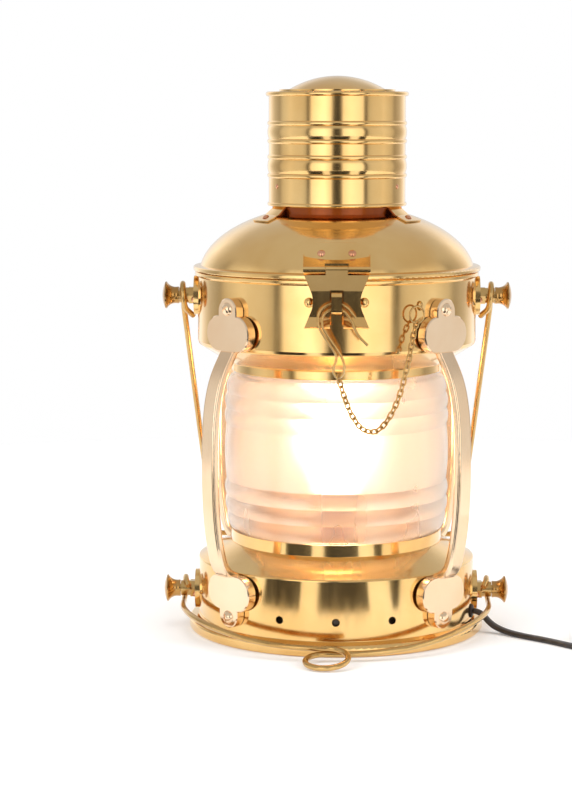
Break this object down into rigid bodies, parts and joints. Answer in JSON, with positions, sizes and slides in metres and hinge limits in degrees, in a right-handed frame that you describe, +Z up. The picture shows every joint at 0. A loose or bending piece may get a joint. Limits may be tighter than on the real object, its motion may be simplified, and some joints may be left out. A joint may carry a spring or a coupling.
{
  "type": "ship lantern",
  "caption": "Brass ship's anchor lantern wired for electricity: drum lens between guards, hinged domed lid with chimney and hasp, wire bails and a supply cord.",
  "frame": {"origin": "centre of the base's underside, on the lantern's axis", "axes": "+Z up along the lantern's axis, -Y to the front with the hasp, +X to the lantern's right as seen from the front"},
  "size_m": [0.3843, 0.265, 0.394],
  "materials": {
    "brass": "polished",
    "cast_brass": "polished casting",
    "copper": "polished copper",
    "bronze": "polished",
    "lens_glass": "clear moulded",
    "bulb_glass": "frosted",
    "gasket": "matte",
    "cord": "satin",
    "plug": "matte"
  },
  "bodies": {
    "lantern": {"base_pan": "brass", "base_bottom_plate": "brass", "lower_glass_ring": "brass", "upper_glass_ring": "brass", "lens_gaskets": "gasket", "glass_lens": "lens_glass", "upper_band": "brass", "guard_front_left": "cast_brass", "guard_front_right": "cast_brass", "guard_rear_left": "cast_brass", "guard_rear_right": "cast_brass", "guard_screws": "cast_brass", "pivot_plates": "brass", "pivot_rivets": "copper", "pivot_studs": "brass", "hasp_plate": "brass", "hasp_plate_rivets": "brass", "hasp_staple": "brass", "keeper_chain": "brass", "chain_ring": "brass", "chain_eyelet": "brass", "hinge_band_leaf": "brass", "hinge_band_rivets": "copper", "hinge_rod": "brass", "socket_stem": "brass", "lamp_holder": "brass", "bulb_cap": "brass", "bulb_glass": "bulb_glass", "cord_grommet": "cord", "inner_lead": "cord", "supply_cord": "cord", "supply_cord_coil": "cord", "plug_body": "plug", "plug_blades": "brass"},
    "lid": {"lid_dome": "brass", "lid_neck": "brass", "chimney": "brass", "chimney_cap": "brass", "cap_brackets": "brass", "chimney_tabs": "brass", "chimney_rivets": "copper", "tab_rivets": "copper", "hasp_leaf": "brass", "hasp_leaf_rivets": "copper", "hasp_rod": "brass", "hinge_lid_leaf": "brass", "hinge_lid_rivets": "copper"},
    "hasp_flap": {"hasp_flap": "brass"},
    "keeper_pin": {"keeper_pin": "brass"},
    "upper_bail": {"upper_bail": "bronze"},
    "lower_bail": {"lower_bail": "bronze"},
    "knob_upper_left": {"knob_upper_left": "bronze"},
    "knob_upper_right": {"knob_upper_right": "bronze"},
    "knob_lower_left": {"knob_lower_left": "bronze"},
    "knob_lower_right": {"knob_lower_right": "bronze"}
  },
  "joints": [
    {"name": "lid_hinge", "type": "hinge", "parent": "lantern", "child": "lid", "pos_m": [0, 0.1064, 0.2582], "axis": [-1, 0, 0], "range_deg": [0, 100]},
    {"name": "hasp_flap_hinge", "type": "hinge", "parent": "lid", "child": "hasp_flap", "pos_m": [0, -0.1015, 0.264], "axis": [-1, 0, 0], "range_deg": [0, 3]},
    {"name": "keeper_pin_swing", "type": "hinge", "parent": "lantern", "child": "keeper_pin", "pos_m": [0, -0.1164, 0.2392], "axis": [-1, 0, 0], "range_deg": [0, 40], "deforming": ["keeper_chain"]},
    {"name": "upper_bail_pivot", "type": "hinge", "parent": "lantern", "child": "upper_bail", "pos_m": [0, 0, 0.239], "axis": [1, 0, 0], "range_deg": [0, 300]},
    {"name": "lower_bail_pivot", "type": "hinge", "parent": "lantern", "child": "lower_bail", "pos_m": [0, 0, 0.026], "axis": [1, 0, 0], "range_deg": [-22, 0]},
    {"name": "knob_upper_left_spin", "type": "hinge", "parent": "lantern", "child": "knob_upper_left", "pos_m": [-0.116, 0, 0.239], "axis": [-1, 0, 0], "continuous": true},
    {"name": "knob_upper_right_spin", "type": "hinge", "parent": "lantern", "child": "knob_upper_right", "pos_m": [0.116, 0, 0.239], "axis": [1, 0, 0], "continuous": true},
    {"name": "knob_lower_left_spin", "type": "hinge", "parent": "lantern", "child": "knob_lower_left", "pos_m": [-0.116, 0, 0.026], "axis": [-1, 0, 0], "continuous": true},
    {"name": "knob_lower_right_spin", "type": "hinge", "parent": "lantern", "child": "knob_lower_right", "pos_m": [0.116, 0, 0.026], "axis": [1, 0, 0], "continuous": true}
  ]
}
